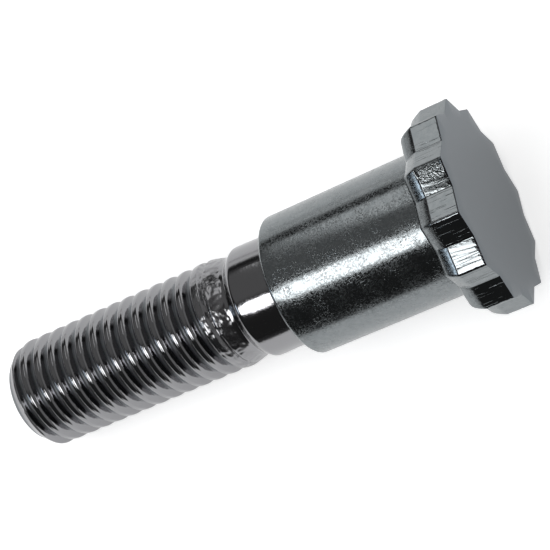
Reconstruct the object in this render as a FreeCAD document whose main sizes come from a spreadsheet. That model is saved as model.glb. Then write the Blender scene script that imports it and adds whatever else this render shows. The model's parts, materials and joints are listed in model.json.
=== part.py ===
import FreeCAD
import Part
import Sketcher
import math
import os

# Door striker bolt: one piece of steel, upset, turned, thread-rolled and plated.
# The bolt's own axis is its local X, from the tip of the thread towards the head,
# with the origin at the centre of the shoulder's seat. The body's placement then
# lays the bolt down as it comes to rest: on two points of its head and on the
# first full crest of its thread.

doc = FreeCAD.newDocument("striker_bolt")

# Driving dimensions, in millimetres and degrees
SIZES = {
    "thread_diameter": 12.7,
    "thread_pitch": 1.954,
    "thread_root_diameter": 10.46,
    "thread_flank_angle": 30,
    "thread_crest_flat": 0.3,
    "thread_crest_break": 0.45,
    "thread_fade_turns": 1.15,
    "thread_fade_growth": 0.95,
    "seat_to_tip": 35.8,
    "seat_to_last_groove": 9.42,
    "tip_diameter": 10.2,
    "tip_chamfer_length": 1.6,
    "neck_depth": 0.67,
    "neck_length": 0.5,
    "neck_taper_length": 2,
    "collar_diameter": 13,
    "collar_seat_diameter": 12.76,
    "collar_length": 4.9,
    "collar_lead_length": 0.95,
    "collar_edge_radius": 0.7,
    "seat_corner_width": 0.2,
    "shoulder_diameter": 16.17,
    "shoulder_length": 19,
    "shoulder_edge_break": 0.25,
    "head_points_diameter": 23.56,
    "head_thickness": 4.9,
    "head_rear_rounding": 1.8,
    "cut_clearance": 0.5,
}

# The head is a double hexagon: one hexagon, and the same again half a side further round
HEXAGON_SIDES = 6
HEXAGON_STEP = 360 / HEXAGON_SIDES
POINT_STEP = HEXAGON_STEP / 2

SAME_PLACE = 0.001

sheet = doc.addObject("Spreadsheet::Sheet", "Sizes")
for row, (alias, value) in enumerate(SIZES.items(), start=1):
    sheet.set(f"A{row}", alias)
    sheet.set(f"B{row}", str(value))
    sheet.setAlias(f"B{row}", alias)
doc.recompute()

bolt = doc.addObject("PartDesign::Body", "StrikerBolt")
bolt.Label = "striker_bolt"


def origin_feature(role):
    """The bolt's own origin plane or axis with this role."""
    return [item for item in bolt.Origin.OriginFeatures if item.Role == role][0]


def new_sketch(name, role):
    """An empty sketch of the bolt on one of its origin planes."""
    sketch = bolt.newObject("Sketcher::SketchObject", name)
    sketch.AttachmentSupport = [(origin_feature(role), "")]
    sketch.MapMode = "FlatFace"
    return sketch


def value_of(expression):
    """What an expression of the sizes comes to."""
    return float(sheet.evalExpression(expression))


def point_at(corner):
    """The point of a sketch that a pair of expressions gives."""
    across, up = corner
    return FreeCAD.Vector(value_of(across), value_of(up), 0)


def tie_point(sketch, line, end, corner):
    """Tie one end of a line to its corner."""
    for kind, expression in zip(("DistanceX", "DistanceY"), corner):
        distance = Sketcher.Constraint(kind, -1, 1, line, end, value_of(expression))
        index = sketch.addConstraint(distance)
        sketch.setExpression(f"Constraints[{index}]", expression)


def join(sketch, line, following):
    """Join the end of one line or arc to the start of the next."""
    sketch.addConstraint(Sketcher.Constraint("Coincident", line, 2, following, 1))


def draw_lines(sketch, corners):
    """Straight lines through the corners, each corner tied to its place."""
    lines = []
    for start, end in zip(corners, corners[1:]):
        lines.append(sketch.addGeometry(Part.LineSegment(point_at(start), point_at(end))))
        tie_point(sketch, lines[-1], 1, start)
    for line, following in zip(lines, lines[1:]):
        join(sketch, line, following)
    return lines


def draw_outline(sketch, corners):
    """A closed outline of straight lines."""
    lines = draw_lines(sketch, corners + corners[:1])
    join(sketch, lines[-1], lines[0])


def turned(kind, name, sketch):
    """A full turn of a sketch round the bolt's axis: a Revolution adds, a Groove cuts."""
    feature = bolt.newObject("PartDesign::" + kind, name)
    feature.Profile = sketch
    feature.ReferenceAxis = (origin_feature("X_Axis"), [""])
    doc.recompute()
    return feature


def ring_edge(shape, station, diameter):
    """The name of the circle round the axis with this station and diameter."""
    for number, edge in enumerate(shape.Edges, start=1):
        if not isinstance(edge.Curve, Part.Circle):
            continue
        off_station = abs(edge.Curve.Center.x - station)
        off_radius = abs(edge.Curve.Radius - diameter / 2)
        if off_station < SAME_PLACE and off_radius < SAME_PLACE:
            return f"Edge{number}"
    raise ValueError(f"no edge at {station} with a diameter of {diameter}")


# Head: a hexagon, with two of the head's points astride the lowest line
UNDERSIDE = "Sizes.shoulder_length"
POINTS = "Sizes.head_points_diameter / 2"

hexagon_sketch = new_sketch("HexagonSketch", "YZ_Plane")
hexagon_sketch.setExpression("AttachmentOffset.Base.z", UNDERSIDE)
hexagon_corners = []
for number in range(HEXAGON_SIDES):
    turn = POINT_STEP / 2 + number * HEXAGON_STEP
    hexagon_corners.append((f"{POINTS} * sin({turn} deg)", f"-{POINTS} * cos({turn} deg)"))
draw_outline(hexagon_sketch, hexagon_corners)
hexagon = bolt.newObject("PartDesign::Pad", "Hexagon")
hexagon.Profile = hexagon_sketch
hexagon.setExpression("Length", "Sizes.head_thickness")
doc.recompute()

double_hexagon = bolt.newObject("PartDesign::PolarPattern", "DoubleHexagon")
double_hexagon.Originals = [hexagon]
double_hexagon.Axis = (origin_feature("X_Axis"), [""])
double_hexagon.Angle = POINT_STEP
double_hexagon.Occurrences = 2
bolt.Tip = double_hexagon
doc.recompute()

# The head's rear edge is rounded along the whole outline, points and notches alike
rear_edges = []
for number, edge in enumerate(double_hexagon.Shape.Edges, start=1):
    if all(abs(vertex.X - value_of(UNDERSIDE)) < SAME_PLACE for vertex in edge.Vertexes):
        rear_edges.append(f"Edge{number}")
head_rounding = bolt.newObject("PartDesign::Fillet", "HeadRounding")
head_rounding.Base = (double_hexagon, rear_edges)
head_rounding.setExpression("Radius", "Sizes.head_rear_rounding")
doc.recompute()

# Turned shank: half of its section, from the tip into the head. The neck is a groove below the collar
TIP = "-Sizes.seat_to_tip"
CHAMFER_END = "-Sizes.seat_to_tip + Sizes.tip_chamfer_length"
COLLAR_EDGE = "-Sizes.collar_length"
COLLAR_FOOT = COLLAR_EDGE + " - Sizes.collar_lead_length"
NECK_END = COLLAR_FOOT + " - Sizes.neck_length"
TAPER_START = NECK_END + " - Sizes.neck_taper_length"
CREST = "Sizes.thread_diameter / 2"
COLLAR = "Sizes.collar_diameter / 2"
NECK = COLLAR + " - Sizes.neck_depth"
COLLAR_AT_SEAT = "Sizes.collar_seat_diameter / 2"
SHOULDER = "Sizes.shoulder_diameter / 2"
INSIDE_HEAD = UNDERSIDE + " + Sizes.head_rear_rounding"

shank_sketch = new_sketch("ShankSketch", "XZ_Plane")
draw_outline(
    shank_sketch,
    [
        (TIP, "0"),
        (TIP, "Sizes.tip_diameter / 2"),
        (CHAMFER_END, CREST),
        (TAPER_START, CREST),
        (NECK_END, NECK),
        (COLLAR_FOOT, NECK),
        (COLLAR_EDGE, COLLAR),
        ("-Sizes.seat_corner_width", COLLAR_AT_SEAT),
        ("0", COLLAR_AT_SEAT + " + Sizes.seat_corner_width"),
        ("0", SHOULDER + " - Sizes.shoulder_edge_break"),
        ("Sizes.shoulder_edge_break", SHOULDER),
        (INSIDE_HEAD, SHOULDER),
        (INSIDE_HEAD, "0"),
    ],
)
shank = turned("Revolution", "Shank", shank_sketch)

collar_rounding = bolt.newObject("PartDesign::Fillet", "CollarRounding")
collar_edge = ring_edge(shank.Shape, value_of(COLLAR_EDGE), value_of("Sizes.collar_diameter"))
collar_rounding.Base = (shank, [collar_edge])
collar_rounding.setExpression("Radius", "Sizes.collar_edge_radius")

# Thread: the groove between two crests, its section drawn under the axis
GROOVE = "-Sizes.seat_to_last_groove"
ROOT = "Sizes.thread_root_diameter / 2"
FLANK_TOP = CREST + " - Sizes.thread_crest_break"
OUTSIDE_THREAD = CREST + " + Sizes.cut_clearance"
FLANK_HALF = f"({FLANK_TOP} - {ROOT}) * tan(Sizes.thread_flank_angle * 1 deg)"
MOUTH_HALF = "(Sizes.thread_pitch - Sizes.thread_crest_flat) / 2"

groove_sketch = new_sketch("ThreadGrooveSketch", "XZ_Plane")
draw_outline(
    groove_sketch,
    [
        (GROOVE, f"-({ROOT})"),
        (f"{GROOVE} - {FLANK_HALF}", f"-({FLANK_TOP})"),
        (f"{GROOVE} - {MOUTH_HALF}", f"-({CREST})"),
        (f"{GROOVE} - {MOUTH_HALF}", f"-({OUTSIDE_THREAD})"),
        (f"{GROOVE} + {MOUTH_HALF}", f"-({OUTSIDE_THREAD})"),
        (f"{GROOVE} + {MOUTH_HALF}", f"-({CREST})"),
        (f"{GROOVE} + {FLANK_HALF}", f"-({FLANK_TOP})"),
    ],
)


def helical_cut(name, mode):
    """A right-hand helical cut of the groove's section round the bolt's axis."""
    cut = bolt.newObject("PartDesign::SubtractiveHelix", name)
    cut.Profile = groove_sketch
    cut.ReferenceAxis = (origin_feature("X_Axis"), [""])
    cut.Mode = mode
    cut.HasBeenEdited = True
    return cut


# The full thread runs from the last groove out past the tip
thread = helical_cut("Thread", "pitch-height-angle")
thread.Reversed = True
thread.setExpression("Pitch", "Sizes.thread_pitch")
thread.setExpression("Height", "Sizes.seat_to_tip - Sizes.seat_to_last_groove + Sizes.thread_pitch")
doc.recompute()

# From the last groove towards the collar the groove rises until it leaves the neck
thread_fade = helical_cut("ThreadFade", "height-turns-growth")
thread_fade.setExpression("Height", "Sizes.thread_pitch * Sizes.thread_fade_turns")
thread_fade.setExpression("Turns", "Sizes.thread_fade_turns")
thread_fade.setExpression("Growth", "Sizes.thread_fade_growth")
doc.recompute()

# Rest: the axis rises towards the head, because the head is the larger
point_start = value_of(INSIDE_HEAD)
point_drop = value_of(POINTS) * math.cos(math.radians(POINT_STEP / 2))
pitch = value_of("Sizes.thread_pitch")
last_groove = value_of("Sizes.seat_to_last_groove")
full_thread_end = -value_of(CHAMFER_END)
full_crests = math.floor((full_thread_end - last_groove) / pitch - 0.5)
outer_crest = last_groove + (full_crests + 0.5) * pitch + value_of("Sizes.thread_crest_flat / 2")
crest_contact = min(outer_crest, full_thread_end)
rise = math.degrees(math.atan2(point_drop - value_of(CREST), point_start + crest_contact))
bolt.Placement = FreeCAD.Placement(
    FreeCAD.Vector(0, 0, 0), FreeCAD.Rotation(FreeCAD.Vector(0, 1, 0), -rise)
)
doc.recompute()

# Every feature has to be sound, and each cut has to have taken material away
for item in doc.Objects:
    if "Invalid" in item.State or "Error" in item.State:
        raise RuntimeError(f"{item.Label} failed: {item.State}")
cuts = ((double_hexagon, head_rounding), (shank, collar_rounding), (thread, thread_fade))
for before, after in cuts:
    if not after.Shape.Volume < before.Shape.Volume:
        raise RuntimeError(f"{after.Label} cut nothing")
if bolt.Shape.isNull() or not bolt.Shape.isValid() or len(bolt.Shape.Solids) != 1:
    raise RuntimeError("the bolt is not one sound solid")

print(f"rise of the axis {rise:.4f} degrees, volume {bolt.Shape.Volume:.2f} cubic mm")
os.makedirs("parts", exist_ok=True)
bolt.Shape.exportStep(f"parts/{bolt.Label}.step")
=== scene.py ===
import json
import math

import bpy
import numpy as np
from mathutils import Matrix, Vector

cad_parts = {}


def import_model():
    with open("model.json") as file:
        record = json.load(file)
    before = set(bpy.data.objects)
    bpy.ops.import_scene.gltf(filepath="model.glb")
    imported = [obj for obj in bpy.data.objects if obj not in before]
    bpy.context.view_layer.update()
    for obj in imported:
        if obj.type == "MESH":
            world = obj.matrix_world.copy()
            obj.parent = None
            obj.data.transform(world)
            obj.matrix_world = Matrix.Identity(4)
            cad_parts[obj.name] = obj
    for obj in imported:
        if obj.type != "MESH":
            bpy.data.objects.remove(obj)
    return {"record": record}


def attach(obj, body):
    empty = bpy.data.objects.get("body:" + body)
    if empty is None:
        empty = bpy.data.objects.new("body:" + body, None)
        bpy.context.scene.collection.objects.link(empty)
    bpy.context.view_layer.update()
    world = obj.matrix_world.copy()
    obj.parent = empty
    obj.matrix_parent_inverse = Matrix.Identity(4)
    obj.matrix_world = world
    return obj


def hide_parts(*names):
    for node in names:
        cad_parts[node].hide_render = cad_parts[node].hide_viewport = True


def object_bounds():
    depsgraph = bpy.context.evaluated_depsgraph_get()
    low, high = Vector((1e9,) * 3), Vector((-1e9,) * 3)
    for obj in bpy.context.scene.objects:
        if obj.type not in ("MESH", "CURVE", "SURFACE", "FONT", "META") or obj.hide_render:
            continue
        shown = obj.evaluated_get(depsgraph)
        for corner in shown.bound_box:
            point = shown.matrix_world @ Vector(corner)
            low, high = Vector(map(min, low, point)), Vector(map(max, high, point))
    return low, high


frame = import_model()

cad_box = [list(corner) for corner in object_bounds()]
scene = bpy.context.scene

# Lengths below are in millimetres along the bolt's own axis from the shoulder's seat,
# positive towards the head. Turns go right-handed round that axis from straight down.
MM = 0.001
mounts = {mount["name"]: mount for mount in frame["record"]["mounts"]}
ALONG = Vector(mounts["head_drive"]["axis"])
ACROSS = Vector((0, 1, 0))
UPWARD = ALONG.cross(ACROSS)

# Tip and thread
THREAD_R = mounts["threaded_end"]["dims"]["r_mm"]
THREAD_PITCH = 1.954
LAST_GROOVE = -9.42
TIP = -35.8
TIP_R = 5.1
TIP_EDGE = 0.12
FULL_THREAD = -34.2
CHAMFER_ROUND = 0.12
ROOT_R = 5.23
ROOT_ROUND = 0.14
ROOT_SOFTENING = 1.5
FLANK_SLOPE = math.sqrt(3)
CREST_DROP = 0.2
CREST_HALF = 0.43
CREST_POWER = 3.4
CREST_ROUGHNESS = 0.0012
LIP_REACH = 0.2
LIP_ROUND = 0.06
OUTSIDE = 1

# Run-out of the thread, and the neck
FADE_TURNS = 1.15
FADE_RISE = 0.95
FADE_CENTRE = -8.3
FADE_REACH = 1.7
FADE_ROUGHNESS = 0.03
TAPER_START = -8.35
TAPER_ROUND = 0.15
NECK_START = -6.35
NECK_R = 5.83
NECK_ROUND = 0.1

# Collar, seat and shoulder
COLLAR_FOOT = -5.85
COLLAR_FOOT_ROUND = 0.3
COLLAR_EDGE = -4.9
COLLAR_EDGE_ROUND = 0.8
COLLAR_R = 6.5
COLLAR_SEAT_R = 6.38
SEAT_CORNER = 0.2
SEAT_CORNER_ROUND = 0.08
SEAT_ROUND = 0.05
SHOULDER_R = mounts["striker_shoulder"]["dims"]["r_mm"]
SHOULDER_BREAK = 0.25
SHOULDER_RIM_ROUND = 0.13
SHOULDER_EDGE_ROUND = 0.3
SHOULDER_END = 19.0
HEAD_CORNER_ROUND = 0.12
UNDER_HEAD = 0.5

# Head: a double hexagon
HEXAGON_STEP = 60
POINT_STEP = HEXAGON_STEP / 2
HEAD_R = 11.78
HEAD_APOTHEM = HEAD_R * math.cos(math.radians(HEXAGON_STEP / 2))
HEAD_FRONT = 23.9
HEAD_ROUND_LENGTH = 1.85
HEAD_ROUND_DEPTH = 1.5
HEAD_ROUND_START = 0.5
FRONT_INSET = 0.03
EDGE_ROUND = 0.04
POINT_SOFTENING = 1.2
SOFTENING_REACH = 4

# Marks of the trimming die on the head's flanks. Shares run from a point of the head to the next notch
PANEL_END = 23.6
PANEL_INSET = 0.015
ROW_GAP = 0.06
STREAK_HEIGHT = 0.002
STREAK_SHARPNESS = 0.6
STREAK_LIMIT = 1.5
STREAK_DRIFT = 1.5
MOTTLE_HEIGHT = 0.006
MOTTLE_START = 1.7
MOTTLE_FALL = 3
LEAST_MOTTLED = 0.04
RIDGE_DENTS = 0.035
RIDGE_SHARE = 0.08
BURR_HEIGHT = 0.008
BURR_RANGE = (-1, 0.3)
RAGGED_RANGE = (-0.6, 0.4)
NOTCH_SHARE = 0.14
BOW_DEPTH = 0.1
BOW_SHARE = 0.55
TORN_EVERY = 10
TORN_FIRST = 1
LEAST_TORN = 0.05

# Grid of the mesh
TURNS_AROUND = 144
FINE_SHARE = 6
FINE_AROUND = TURNS_AROUND * FINE_SHARE
FLANKS = 24
PER_FLANK = FINE_AROUND // FLANKS
TIP_RINGS = 5
ROWS_PER_PITCH = 22
CREST_CROWDING = 0.5
CLEAR_OF_RINGS = 0.02
TURNED_SPACING = 1.6
CORNER_STEPS = 6
REAR_ROWS = 9
FLANK_ROWS = 18
FRONT_RINGS = 6
FRONT_R = 9.4
coarse_turns = np.arange(TURNS_AROUND) * 2 * math.pi / TURNS_AROUND
fine_turns = np.arange(FINE_AROUND) * 2 * math.pi / FINE_AROUND

SEED = 7
rng = np.random.RandomState(SEED)


def world(x, radius, turn):
    """Points of the world, in metres, from the bolt's own station, radius and turn."""
    x, radius, turn = np.broadcast_arrays(x, radius, turn)
    across = radius * np.sin(turn)
    up = -radius * np.cos(turn)
    points = np.stack([x, across, up], axis=-1) @ np.array([ALONG, ACROSS, UPWARD])
    return points * MM


def smooth_min(a, b, width):
    """The smaller of two values, with the crossing rounded over a width."""
    h = np.clip(0.5 + 0.5 * (b - a) / width, 0, 1)
    return b * (1 - h) + a * h - width * h * (1 - h)


def smooth_max(a, b, width):
    """The larger of two values, with the crossing rounded over a width."""
    return -smooth_min(-a, -b, width)


def random_waves(count, along, around):
    """Directions, lengths and phases of waves that close round the axis."""
    return [
        (rng.uniform(-along, along), rng.randint(-around, around + 1), rng.uniform(0, 2 * math.pi))
        for number in range(count)
    ]


WAVE_COUNT = 26
WAVES_ALONG = 13
WAVES_AROUND = 75
WAVE_TOP = 0.5
coarse_waves = random_waves(WAVE_COUNT, WAVES_ALONG, WAVES_AROUND)
fine_waves = random_waves(WAVE_COUNT, 2 * WAVES_ALONG, 2 * WAVES_AROUND)


def dents(waves, x, turn):
    """How far the waves fall below a level top at a station and a turn: zero or less."""
    total = sum(np.sin(along * x + around * turn + phase) for along, around, phase in waves)
    return np.minimum(total / math.sqrt(len(waves)), WAVE_TOP) - WAVE_TOP


def turned_radius(x):
    """Radius of the turned shank between the tip and the collar's foot."""
    chamfer = TIP_R + (x - TIP) * (THREAD_R - TIP_R) / (FULL_THREAD - TIP)
    taper_fall = (THREAD_R - NECK_R) / (NECK_START - TAPER_START)
    taper = THREAD_R - (x - TAPER_START) * taper_fall
    radius = smooth_min(chamfer, np.full_like(x, THREAD_R), CHAMFER_ROUND)
    neck = smooth_max(taper, np.full_like(x, NECK_R), NECK_ROUND)
    return smooth_min(radius, neck, TAPER_ROUND)


def groove_radius(distance):
    """Radius of the groove's wall this far along the axis from its centre."""
    from_crest = np.maximum(THREAD_PITCH / 2 - np.abs(distance), 0)
    share = np.minimum(from_crest, CREST_HALF) / CREST_HALF
    crest = THREAD_R - CREST_DROP * share ** CREST_POWER
    flank = THREAD_R - CREST_DROP - FLANK_SLOPE * (from_crest - CREST_HALF)
    wall = np.where(from_crest < CREST_HALF, crest, flank)
    return smooth_max(wall, np.full_like(wall, ROOT_R + ROOT_ROUND), ROOT_ROUND * ROOT_SOFTENING)


def thread_radius(x, turn):
    """Radius of the threaded end at a station and a turn."""
    turns = turn / (2 * math.pi)
    radius = turned_radius(x)
    nearest = np.round((x - LAST_GROOVE) / THREAD_PITCH - turns)
    for step in (-1, 0, 1):
        groove = nearest + step + turns
        distance = x - (LAST_GROOVE + THREAD_PITCH * groove)
        lift = FADE_RISE * np.clip(groove, 0, FADE_TURNS)
        beyond = np.maximum(np.abs(distance) - THREAD_PITCH / 2, 0)
        wall = groove_radius(distance) + lift + beyond
        wall = np.where(groove > FADE_TURNS, THREAD_R + OUTSIDE, wall)
        radius = np.where(wall < radius + LIP_REACH, smooth_min(radius, wall, LIP_ROUND), radius)
    fade = np.clip(1 - np.abs(x - FADE_CENTRE) / FADE_REACH, 0, 1)
    rough = FADE_ROUGHNESS * fade * dents(coarse_waves, x, turn)
    worn = CREST_ROUGHNESS * dents(fine_waves, x, turn)
    return radius + rough + worn


class Skin:
    """Gathers the points and faces of one closed mesh."""

    def __init__(self):
        self.points = []
        self.faces = []
        self.torn = {}

    def point(self, place):
        """One point of the world."""
        self.points.append(tuple(place))
        return len(self.points) - 1

    def ring(self, x, radius, turns, torn=None):
        """A ring of points, one for each turn, and how torn the surface is there."""
        ring = [self.point(place) for place in world(x, radius, turns)]
        if torn is not None:
            self.torn.update(zip(ring, torn))
        return ring

    def centre(self, x):
        """One point on the axis."""
        return self.point(world(x, 0.0, 0.0))

    def face(self, corners):
        """A face, with corners that repeat left out."""
        kept = list(dict.fromkeys(corners))
        if len(kept) > 2:
            self.faces.append(kept)

    def band(self, lower, upper):
        """Quads between two rings with the same number of points."""
        for i, corner in enumerate(lower):
            j = (i + 1) % len(lower)
            self.face([corner, lower[j], upper[j], upper[i]])

    def fan(self, ring, centre, outwards):
        """Triangles between a ring and its centre."""
        for i, corner in enumerate(ring):
            following = ring[(i + 1) % len(ring)]
            self.face([corner, following, centre] if outwards else [following, corner, centre])

    def change_count(self, coarse, fine, widening):
        """Triangles between a coarse ring and a fine one, which lies outside it."""
        share = len(fine) // len(coarse)
        half = (share + 1) // 2
        for i, corner in enumerate(coarse):
            following = coarse[(i + 1) % len(coarse)]
            run = [fine[(i * share + k) % len(fine)] for k in range(share + 1)]
            faces = [[corner if k < half else following, run[k + 1], run[k]] for k in range(share)]
            faces.append([corner, following, run[half]])
            for corners in faces:
                self.face(corners if widening else corners[::-1])


def add_tip(skin):
    """The tip, a flat face with a rounded edge, up to the ring where the chamfer starts."""
    face_radius = TIP_R - TIP_EDGE
    ring = skin.ring(TIP, face_radius / TIP_RINGS, coarse_turns)
    skin.fan(ring, skin.centre(TIP), False)
    places = [(TIP, face_radius * number / TIP_RINGS) for number in range(2, TIP_RINGS + 1)]
    for angle in np.radians((30, 60, 90)):
        places.append((TIP + TIP_EDGE * (1 - math.cos(angle)), face_radius + TIP_EDGE * math.sin(angle)))
    for x, radius in places:
        outer = skin.ring(x, radius, coarse_turns)
        skin.band(ring, outer)
        ring = outer
    return ring


def add_thread(skin, start_ring):
    """The thread: rows that follow the helix, closest at the crests and held to a ring at either end."""
    start = TIP + TIP_EDGE
    shares = np.linspace(-1, 1, ROWS_PER_PITCH + 1)[:-1]
    from_crest = THREAD_PITCH / 2 * shares * (CREST_CROWDING + (1 - CREST_CROWDING) * shares ** 2)
    first_groove = LAST_GROOVE + THREAD_PITCH * math.floor((start - LAST_GROOVE) / THREAD_PITCH - 1)
    pitches = math.ceil((NECK_START - start) / THREAD_PITCH) + 2
    row_starts = np.concatenate(
        [first_groove + THREAD_PITCH * (number + 0.5) + from_crest for number in range(pitches)]
    )
    turns = np.broadcast_to(coarse_turns, (len(row_starts), TURNS_AROUND))
    stations = row_starts[:, None] + THREAD_PITCH * turns / (2 * math.pi)
    points = world(stations, thread_radius(stations, turns), turns)
    end_ring = skin.ring(NECK_START, turned_radius(np.full(TURNS_AROUND, NECK_START)), coarse_turns)
    rows = []
    for row_stations, row_points in zip(stations, points):
        corners = []
        for column, (x, place) in enumerate(zip(row_stations, row_points)):
            if x <= start + CLEAR_OF_RINGS:
                corners.append(start_ring[column])
            elif x >= NECK_START - CLEAR_OF_RINGS:
                corners.append(end_ring[column])
            else:
                corners.append(skin.point(place))
        rows.append(corners)
    # A full turn on, a row runs into the row one pitch above it
    for row, corners in enumerate(rows):
        above = row + ROWS_PER_PITCH
        corners.append(rows[above][0] if above < len(rows) else end_ring[0])
    for lower, upper in zip(rows, rows[1:]):
        for column in range(TURNS_AROUND):
            skin.face([lower[column], lower[column + 1], upper[column + 1], upper[column]])
    return end_ring


def rounded(before, corner, after, radius):
    """Points of the arc that rounds the corner between two straight lines."""
    before, corner, after = (np.array(place[:2], float) for place in (before, corner, after))
    back = (before - corner) / np.linalg.norm(before - corner)
    forth = (after - corner) / np.linalg.norm(after - corner)
    half_angle = math.acos(float(np.clip(back @ forth, -1, 1))) / 2
    reach = radius / math.tan(half_angle)
    middle = (back + forth) / np.linalg.norm(back + forth)
    centre = corner + middle * radius / math.sin(half_angle)
    start = corner + back * reach - centre
    end = corner + forth * reach - centre
    places = []
    for share in np.linspace(0, 1, CORNER_STEPS):
        towards = start * (1 - share) + end * share
        places.append(centre + towards * radius / np.linalg.norm(towards))
    return places


def turned_outline():
    """Neck, collar, seat and shoulder: stations and radii of the outline, with its corners rounded."""
    corners = [
        (NECK_START, NECK_R, 0),
        (COLLAR_FOOT, NECK_R, COLLAR_FOOT_ROUND),
        (COLLAR_EDGE, COLLAR_R, COLLAR_EDGE_ROUND),
        (-SEAT_CORNER, COLLAR_SEAT_R, SEAT_CORNER_ROUND),
        (0, COLLAR_SEAT_R + SEAT_CORNER, SEAT_ROUND),
        (0, SHOULDER_R - SHOULDER_BREAK, SHOULDER_RIM_ROUND),
        (SHOULDER_BREAK, SHOULDER_R, SHOULDER_EDGE_ROUND),
        (SHOULDER_END, SHOULDER_R, HEAD_CORNER_ROUND),
        (SHOULDER_END, SHOULDER_R + UNDER_HEAD, 0),
    ]
    outline = []
    for before, corner, after in zip(corners, corners[1:], corners[2:]):
        places = rounded(before, corner, after, corner[2])
        if outline:
            gap = np.linalg.norm(places[0] - outline[-1])
            for share in np.linspace(0, 1, int(gap / TURNED_SPACING) + 2)[1:-1]:
                outline.append(outline[-1] * (1 - share) + places[0] * share)
        outline.extend(places)
    return outline


def add_turned_part(skin, ring):
    """Neck, collar, seat and shoulder, up to the ring under the head."""
    for x, radius in turned_outline():
        outer = skin.ring(x, radius, coarse_turns)
        skin.band(ring, outer)
        ring = outer
    return ring


def star_radius(inset):
    """Radius of the double hexagon at each fine turn, its outline moved in by an inset."""
    reaches = []
    for first in (POINT_STEP / 2, POINT_STEP / 2 + POINT_STEP):
        off = np.mod(fine_turns - math.radians(first), math.radians(HEXAGON_STEP))
        reaches.append((HEAD_APOTHEM - inset) / np.cos(off - math.radians(HEXAGON_STEP / 2)))
    star = np.maximum(*reaches)
    near = np.arange(-SOFTENING_REACH, SOFTENING_REACH + 1)
    weights = np.exp(-0.5 * (near / POINT_SOFTENING) ** 2)
    weights /= weights.sum()
    return np.minimum(sum(w * np.roll(star, k) for k, w in zip(near, weights)), star)


def rear_rows():
    """The head's rear edge, rounded over along its whole outline."""
    rows = []
    for angle in np.radians(np.linspace(90, 0, REAR_ROWS)):
        x = SHOULDER_END + HEAD_ROUND_LENGTH * (1 - math.sin(angle))
        inset = HEAD_ROUND_DEPTH * (1 - math.cos(angle))
        inset += HEAD_ROUND_START * math.sin(angle) * math.cos(angle) ** 3
        rows.append((x, star_radius(inset + PANEL_INSET), None))
    return rows


def flank_rows():
    """The head's flanks, with the marks of the trimming die and the burr that it left."""
    along_pair = (np.arange(FINE_AROUND) + PER_FLANK) % (2 * PER_FLANK)
    from_point = 1 - np.abs(along_pair - PER_FLANK) / PER_FLANK
    near_notch = np.clip((from_point - (1 - NOTCH_SHARE)) / NOTCH_SHARE, 0, 1)
    near_point = np.clip(1 - from_point / RIDGE_SHARE, 0, 1)
    torn = np.where(np.arange(FLANKS) % TORN_EVERY == TORN_FIRST, 1.0, LEAST_TORN)
    torn = np.repeat(torn, PER_FLANK)
    mottled = torn * np.clip(MOTTLE_START - MOTTLE_FALL * from_point, LEAST_MOTTLED, 1)
    bow = BOW_DEPTH * torn * np.clip(1 - from_point / BOW_SHARE, 0, 1) ** 2
    streak = rng.normal(0, 1, FINE_AROUND)
    streak = STREAK_SHARPNESS * streak + (1 - STREAK_SHARPNESS) * np.roll(streak, 1)
    streak = np.clip(streak, -STREAK_LIMIT, STREAK_LIMIT)
    side = star_radius(PANEL_INSET)
    rows = []
    for x in np.linspace(SHOULDER_END + HEAD_ROUND_LENGTH + ROW_GAP, PANEL_END, FLANK_ROWS):
        drift = np.roll(streak, int((x - PANEL_END) * STREAK_DRIFT))
        mottle = MOTTLE_HEIGHT * mottled * rng.normal(0, 1, FINE_AROUND)
        ragged = BURR_HEIGHT * near_notch * rng.uniform(*RAGGED_RANGE, FINE_AROUND)
        ridge = RIDGE_DENTS * near_point * rng.uniform(0, 1, FINE_AROUND)
        marks = STREAK_HEIGHT * drift + mottle + ragged - ridge - bow
        rows.append((x, side + np.minimum(marks, PANEL_INSET), mottled))
    burr = BURR_HEIGHT * rng.uniform(*BURR_RANGE, FINE_AROUND)
    rows.append((PANEL_END + ROW_GAP, side + burr, None))
    rows.append((PANEL_END + 2 * ROW_GAP, side + 0.5 * burr, None))
    return rows


def front_edge_rows():
    """The rounded edge between the head's flanks and its front face."""
    rows = []
    for angle in np.radians((0, 25, 50, 70, 90)):
        x = HEAD_FRONT - EDGE_ROUND * (1 - math.sin(angle))
        rows.append((x, star_radius(FRONT_INSET + EDGE_ROUND * (1 - math.cos(angle))), None))
    return rows


def add_head(skin, ring):
    """The head, from the ring under it to the middle of its front face."""
    fine_ring = None
    for x, radius, torn in rear_rows() + flank_rows() + front_edge_rows():
        outer = skin.ring(x, radius, fine_turns, torn)
        if fine_ring is None:
            skin.change_count(ring, outer, True)
        else:
            skin.band(fine_ring, outer)
        fine_ring = outer
    ring = skin.ring(HEAD_FRONT, FRONT_R, coarse_turns)
    skin.change_count(ring, fine_ring, False)
    for number in range(FRONT_RINGS - 1, 0, -1):
        inner = skin.ring(HEAD_FRONT, FRONT_R * number / FRONT_RINGS, coarse_turns)
        skin.band(ring, inner)
        ring = inner
    skin.fan(ring, skin.centre(HEAD_FRONT), True)


def bolt_mesh():
    """The whole bolt as one closed mesh, which also says how torn each point of the flanks is."""
    skin = Skin()
    start_ring = add_tip(skin)
    end_ring = add_thread(skin, start_ring)
    head_ring = add_turned_part(skin, end_ring)
    add_head(skin, head_ring)
    mesh = bpy.data.meshes.new("striker_bolt_skin")
    mesh.from_pydata(skin.points, [], skin.faces)
    mesh.validate()
    mesh.shade_smooth()
    mesh.update()
    tearing = mesh.attributes.new("torn", "FLOAT", "POINT")
    for number, torn in skin.torn.items():
        tearing.data[number].value = torn
    return mesh


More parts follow.
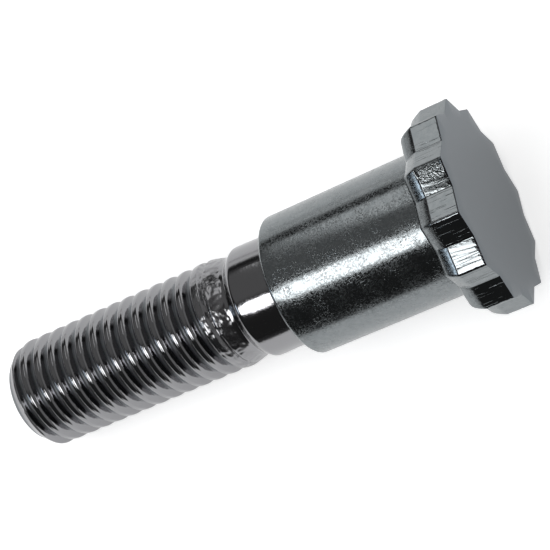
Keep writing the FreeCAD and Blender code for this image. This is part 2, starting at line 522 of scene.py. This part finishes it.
class Nodes:
    """Adds nodes to a material or a world, and links them."""

    def __init__(self, owner):
        owner.use_nodes = True
        self.tree = owner.node_tree

    def put(self, socket, value):
        """Link an output to an input, or set its value."""
        if isinstance(value, bpy.types.NodeSocket):
            self.tree.links.new(value, socket)
        else:
            socket.default_value = value

    def add(self, kind, inputs=None, **settings):
        """A node with some inputs and settings."""
        node = self.tree.nodes.new("ShaderNode" + kind)
        for name, value in settings.items():
            setattr(node, name, value)
        for name, value in (inputs or {}).items():
            self.put(node.inputs[name], value)
        return node

    def math(self, operation, first, second):
        """A difference or other operation on two values."""
        return self.add("Math", {0: first, 1: second}, operation=operation).outputs[0]

    def product(self, result, *others):
        """Values multiplied together."""
        for value in others:
            result = self.math("MULTIPLY", result, value)
        return result

    def total(self, result, *others):
        """Values added together."""
        for value in others:
            result = self.math("ADD", result, value)
        return result

    def step(self, value, start, full, low=0.0, high=1.0):
        """A smooth step, which is low at the start and high where it is full."""
        inputs = {"Value": value, "From Min": start, "From Max": full, "To Min": low, "To Max": high}
        return self.add("MapRange", inputs, interpolation_type="SMOOTHSTEP").outputs["Result"]

    def split(self, vector):
        """The three parts of a vector, by name."""
        return self.add("SeparateXYZ", {"Vector": vector}).outputs

    def stretched(self, vector, scale):
        """Coordinates with a scale of their own along each axis."""
        return self.add("Mapping", {"Vector": vector, "Scale": scale}).outputs["Vector"]

    def noise(self, vector, scale=1.0, detail=2.0, roughness=0.5):
        """Noise about zero at some scale."""
        inputs = {"Vector": vector, "Scale": scale, "Detail": detail, "Roughness": roughness}
        return self.math("SUBTRACT", self.add("TexNoise", inputs).outputs["Fac"], 0.5)

    def blend(self, share, first, second):
        """A mix of two colours. The node's sockets share their names, so they go by number."""
        mix = self.add("Mix", {0: share, 6: first, 7: second}, data_type="RGBA")
        return mix.outputs[2]


# Plating: where the looks change. Each span has where the change starts and where it is full
HEAD_SPAN = (20.4, 20.9)
FRONT_SPAN = (HEAD_FRONT - 0.03, HEAD_FRONT - 0.01)
SEAT_SPAN = (-0.05, 0.0)
FADE_SPAN = (-10.2, -8.6)
NECK_SPAN = (-6.2, -6.5)
THREAD_SPAN = (-8.6, -9.6)
GROOVE_DEPTH_SPAN = (5.8, 5.5)

# Plating: the spans of noise, about zero, that make patches, grains and lines
PATCH_SPAN = (-0.05, 0.14)
GRAIN_SPAN = (0.06, 0.2)
DIE_LINE_SPAN = (0.09, 0.2)
DULL_GRAIN_SPAN = (-0.17, 0.13)
DULL_PATCH_SPAN = (-0.2, 0.15)
TONE_SPAN = (-0.2, 0.2)

# Plating: heights in millimetres
PEEL_HEIGHT = 0.006
FRONT_PEEL_SHARE = 0.35
PIT_DEPTH = 0.014
TURNED_LINE_HEIGHT = 0.0022
DIE_LINE_DEPTH = 0.014
TEAR_HEIGHT = 0.05
LUMP_HEIGHT = 0.24
TURNED_LINE_STRETCH = (9.0, 0.5, 0.5)
DIE_LINE_STRETCH = (0.12, 6.0, 6.0)

# Plating: roughness and colours
LEAST_ROUGHNESS = 0.09
LEAST_DULLNESS = 0.12
MOST_DULLNESS = 0.24
FRONT_HAZE = 0.16
GROOVE_HAZE = 0.3
FADE_HAZE = 0.14
# Painted shade: how far the thread's grooves are darkened towards the front face's shaded colour
GROOVE_SHADE_SHARE = 0.5
SHOULDER_DARK = (0.222, 0.242, 0.25, 1)
SHOULDER_PALE = (0.255, 0.273, 0.28, 1)
THREAD_COLOUR = (0.3, 0.3, 0.31, 1)
# Painted shade: the plating's cool tint, darkened to stand for the shadowed floor in the front face's
# reflection; the grooves are darkened towards it too
PAINTED_SHADE_COLOUR = (0.106, 0.126, 0.143, 1)


def plating():
    """Plated steel. Places are in millimetres, the first part along the bolt's axis from the seat."""
    metal = bpy.data.materials.new("bright_plating")
    kit = Nodes(metal)
    shader = metal.node_tree.nodes["Principled BSDF"]
    lie = {
        "Vector": kit.add("TexCoord").outputs["Object"],
        "Rotation": (0, math.atan2(ALONG.z, ALONG.x), 0),
        "Scale": (1 / MM, 1 / MM, 1 / MM),
    }
    place = kit.add("Mapping", lie).outputs["Vector"]
    station, across, upward = kit.split(place)
    across_part = kit.add("CombineXYZ", {"Y": across, "Z": upward}).outputs["Vector"]
    from_axis = kit.add("VectorMath", {0: across_part}, operation="LENGTH").outputs["Value"]

    # Which part of the bolt it is
    on_head = kit.step(station, *HEAD_SPAN)
    on_front = kit.step(station, *FRONT_SPAN)
    on_flank = kit.math("SUBTRACT", on_head, on_front)
    past_seat = kit.step(station, *SEAT_SPAN)
    on_shoulder = kit.math("SUBTRACT", past_seat, on_head)
    on_fade = kit.product(kit.step(station, *FADE_SPAN), kit.step(station, *NECK_SPAN))
    in_groove = kit.product(kit.step(from_axis, *GROOVE_DEPTH_SPAN), kit.step(station, *THREAD_SPAN))

    # Orange peel, fine pits in patches, turning marks, and the die's marks along the head's flanks
    peel = kit.product(kit.noise(place, scale=3.8, roughness=0.6), PEEL_HEIGHT)
    shank_peel = kit.product(peel, kit.math("SUBTRACT", 1.0, on_head))
    front_peel = kit.product(peel, on_front, FRONT_PEEL_SHARE)
    patches = kit.step(kit.noise(place, scale=0.35, detail=3.0, roughness=0.6), *PATCH_SPAN)
    grains = kit.step(kit.noise(place, scale=5.5, detail=1.0), *GRAIN_SPAN)
    pits = kit.product(grains, patches, -PIT_DEPTH)
    turned_lines = kit.product(kit.noise(kit.stretched(place, TURNED_LINE_STRETCH)), TURNED_LINE_HEIGHT)
    shoulder_marks = kit.product(kit.total(pits, turned_lines), on_shoulder)
    scratches = kit.noise(kit.stretched(place, DIE_LINE_STRETCH), detail=3.0, roughness=0.7)
    die_lines = kit.product(kit.step(scratches, *DIE_LINE_SPAN), on_flank, -DIE_LINE_DEPTH)
    torn = kit.add("Attribute", attribute_name="torn").outputs["Fac"]
    tears = kit.product(kit.noise(place, scale=4.0, roughness=0.6), torn, TEAR_HEIGHT)
    lumps = kit.product(kit.noise(place, scale=0.95, detail=1.0, roughness=0.45), on_fade, LUMP_HEIGHT)
    height = kit.total(shoulder_marks, shank_peel, die_lines, tears, lumps, front_peel)
    bump = kit.add("Bump", {"Height": height, "Strength": 1.0, "Distance": MM})
    kit.put(shader.inputs["Normal"], bump.outputs["Normal"])

    # Dull grains on the shoulder, and a haze on the front face, in the grooves and at the run-out
    dull_grains = kit.step(kit.noise(place, scale=4.5, roughness=0.6), *DULL_GRAIN_SPAN)
    spread = kit.noise(place, scale=0.5, detail=3.0, roughness=0.6)
    dullness = kit.step(spread, *DULL_PATCH_SPAN, low=LEAST_DULLNESS, high=MOST_DULLNESS)
    dull = kit.product(dull_grains, dullness, on_shoulder)
    haze = kit.math("MAXIMUM", kit.product(on_front, FRONT_HAZE), kit.product(in_groove, GROOVE_HAZE))
    roughness = kit.total(dull, haze, kit.product(on_fade, FADE_HAZE), LEAST_ROUGHNESS)
    kit.put(shader.inputs["Roughness"], roughness)

    # Colours: cooler on the shoulder and the head. The front face is darkened as painted shade, standing
    # for the shadowed floor that it reflects, and the thread's grooves are darkened towards the same
    # colour as painted shade in the recesses
    tone = kit.step(kit.noise(place, scale=1.6, detail=4.0, roughness=0.6), *TONE_SPAN)
    shoulder_colour = kit.blend(tone, SHOULDER_DARK, SHOULDER_PALE)
    bright = kit.blend(past_seat, THREAD_COLOUR, shoulder_colour)
    # Painted shade on the front face and in the thread's grooves
    painted_shade_share = kit.math("MAXIMUM", on_front, kit.product(in_groove, GROOVE_SHADE_SHARE))
    kit.put(shader.inputs["Base Color"], kit.blend(painted_shade_share, bright, PAINTED_SHADE_COLOUR))
    kit.put(shader.inputs["Metallic"], 1.0)
    return metal


mesh = bolt_mesh()
mesh.materials.append(plating())
bolt = bpy.data.objects.new("plated_bolt", mesh)
scene.collection.objects.link(bolt)
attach(bolt, "root")
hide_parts("striker_bolt")

# Floor, in metres: pale paper, painted nearly black past its edge as painted shade, a dark sheet that
# stands for the unlit studio so that the metal's lower side reflects dark
FLOOR_SIZE = 6
PALE_SPAN = (-0.09, -0.055)
SHADE_PAINTED_PAST_EDGE = 0.06
PALE_SHADE = 0.88
GLOW_TO_CAMERA = 0.5
GLOW_IN_METAL = 0.25


def floor_paper():
    """Pale paper that is a little brighter to the camera and in the metal than its own light makes it.
    Past its edge it is painted nearly black, as painted shade that the metal reflects.
    """
    paper = bpy.data.materials.new("pale_paper")
    kit = Nodes(paper)
    shader = paper.node_tree.nodes["Principled BSDF"]
    side = kit.split(kit.add("TexCoord").outputs["Object"])["Y"]
    # Painted shade: the paper's colour falls to nearly black past the pale span
    shade = kit.step(side, *PALE_SPAN, low=SHADE_PAINTED_PAST_EDGE, high=PALE_SHADE)
    kit.put(shader.inputs["Base Color"], shade)
    kit.put(shader.inputs["Roughness"], 0.9)
    kit.put(shader.inputs["Specular IOR Level"], 0.0)
    kit.put(shader.inputs["Emission Color"], (1, 1, 1, 1))
    rays = kit.add("LightPath").outputs
    in_metal = kit.math("MAXIMUM", rays["Is Glossy Ray"], rays["Is Transmission Ray"])
    to_camera = kit.product(rays["Is Camera Ray"], GLOW_TO_CAMERA)
    seen = kit.math("MAXIMUM", to_camera, kit.product(in_metal, GLOW_IN_METAL))
    on_pale_side = kit.step(side, *PALE_SPAN)
    kit.put(shader.inputs["Emission Strength"], kit.product(seen, on_pale_side))
    return paper


bpy.ops.mesh.primitive_plane_add(size=FLOOR_SIZE, location=(0, 0, cad_box[0][2]))
floor = bpy.context.object
floor.name = "floor"
floor.data.materials.append(floor_paper())

# World: pale near the horizon, dark above, with a dull soft patch high up and a glow beyond the head
HORIZON_TOP = 0.05
HORIZON_TILT = 0.14
HORIZON_SOFTNESS = 0.05
HORIZON_STRENGTH = 0.9
SKY_STRENGTH = 0.03
PATCH_CENTRE = (-0.35, 0.45, 0.82)
PATCH_OUTER_ANGLE = 38
PATCH_INNER_ANGLE = 24
PATCH_STRENGTH = 0.16
GLOW_SPAN = (0.12, 0.5)
GLOW_STRENGTH = 0.25


def studio_world():
    """The studio round the bolt."""
    studio = bpy.data.worlds.new("studio")
    kit = Nodes(studio)
    towards = kit.add("TexCoord").outputs["Generated"]
    ahead, aside, above = kit.split(towards)
    horizon = kit.total(kit.product(aside, HORIZON_TILT), HORIZON_TOP)
    band = kit.step(
        kit.math("SUBTRACT", above, horizon),
        start=-HORIZON_SOFTNESS,
        full=HORIZON_SOFTNESS,
        low=HORIZON_STRENGTH,
        high=SKY_STRENGTH,
    )
    centre = tuple(Vector(PATCH_CENTRE).normalized())
    facing = kit.add("VectorMath", {0: towards, 1: centre}, operation="DOT_PRODUCT").outputs["Value"]
    outer, inner = (math.cos(math.radians(angle)) for angle in (PATCH_OUTER_ANGLE, PATCH_INNER_ANGLE))
    patch = kit.step(facing, start=outer, full=inner, high=PATCH_STRENGTH)
    glow = kit.step(ahead, *GLOW_SPAN, high=GLOW_STRENGTH)
    background = studio.node_tree.nodes["Background"]
    kit.put(background.inputs["Strength"], kit.total(band, patch, glow))
    kit.put(background.inputs["Color"], (1, 1, 1, 1))
    return studio


scene.world = studio_world()


def lamp(name, towards, distance, width, height, radiance, glossy=True, colour=(1, 1, 1)):
    """A soft panel in a direction from the bolt, facing it."""
    data = bpy.data.lights.new(name, "AREA")
    data.shape = "RECTANGLE"
    data.size = width
    data.size_y = height
    data.energy = radiance * math.pi * width * height
    data.color = colour
    panel = bpy.data.objects.new(name, data)
    direction = Vector(towards).normalized()
    panel.location = direction * distance
    panel.rotation_euler = direction.to_track_quat("Z", "Y").to_euler()
    panel.visible_glossy = glossy
    scene.collection.objects.link(panel)


# Lamps, in metres: the key's own image is the bright streak along the bolt, and the fill has none
lamp("key", (-0.41, -0.345, 0.845), distance=0.5, width=0.18, height=0.142, radiance=5.3)
lamp("fill", (-0.1, -0.05, 1), distance=0.6, width=0.7, height=0.7, radiance=1.8, glossy=False)
lamp("card", (-0.22, 0.67, 0.66), distance=0.15, width=0.042, height=0.08, radiance=0.95)
COOL = (0.75, 0.87, 1)
lamp("window", (-0.82, -0.15, 0.52), distance=0.6, width=0.14, height=0.14, radiance=3, colour=COOL)

# Camera: how the bolt's axis lies in its view, in radians, and where on that axis a known station is,
# in thread radii. The facing turn is the side of the bolt that looks towards the camera.
PITCH_IN = 0.3975
PITCH_UP = 0.4113
ROLL = -0.0255
FACING_TURN = 195
SIDE_TURN = FACING_TURN + 90
KNOWN_STATION = -3.32
KNOWN_PLACE = (-2.4355, -1.3891, -34.524)
IMAGE_WIDTH = 550
FOCAL_PIXELS = 1925.2
SENSOR_WIDTH = 36
CLIP_START = 0.01


def across_axis(degrees):
    """The direction across the axis at a turn."""
    angle = math.radians(degrees)
    return np.array(ACROSS) * math.sin(angle) - np.array(UPWARD) * math.cos(angle)


def camera_matrix():
    """Where the camera stands and how it is turned."""
    level_run = math.cos(PITCH_IN)
    axis = np.array([level_run * math.cos(PITCH_UP), level_run * math.sin(PITCH_UP), math.sin(PITCH_IN)])
    level = np.cross(axis, [0, 0, 1])
    level /= np.linalg.norm(level)
    steep = np.cross(level, axis)
    facing_in_view = math.cos(ROLL) * steep + math.sin(ROLL) * level
    side_in_view = -math.sin(ROLL) * steep + math.cos(ROLL) * level
    in_view = np.stack([axis, facing_in_view, side_in_view], axis=1)
    in_world = np.stack([np.array(ALONG), across_axis(FACING_TURN), across_axis(SIDE_TURN)], axis=1)
    rotation = in_world @ in_view.T
    known = np.array(ALONG) * KNOWN_STATION - rotation @ np.array(KNOWN_PLACE)
    matrix = Matrix([list(row) for row in rotation]).to_4x4()
    matrix.translation = Vector(known * THREAD_R * MM)
    return matrix


scene.view_settings.view_transform = "Standard"
camera_data = bpy.data.cameras.new("camera")
camera_data.sensor_width = SENSOR_WIDTH
camera_data.lens = FOCAL_PIXELS * SENSOR_WIDTH / IMAGE_WIDTH
camera_data.clip_start = CLIP_START
camera = bpy.data.objects.new("camera", camera_data)
camera.matrix_world = camera_matrix()
scene.collection.objects.link(camera)
scene.camera = camera
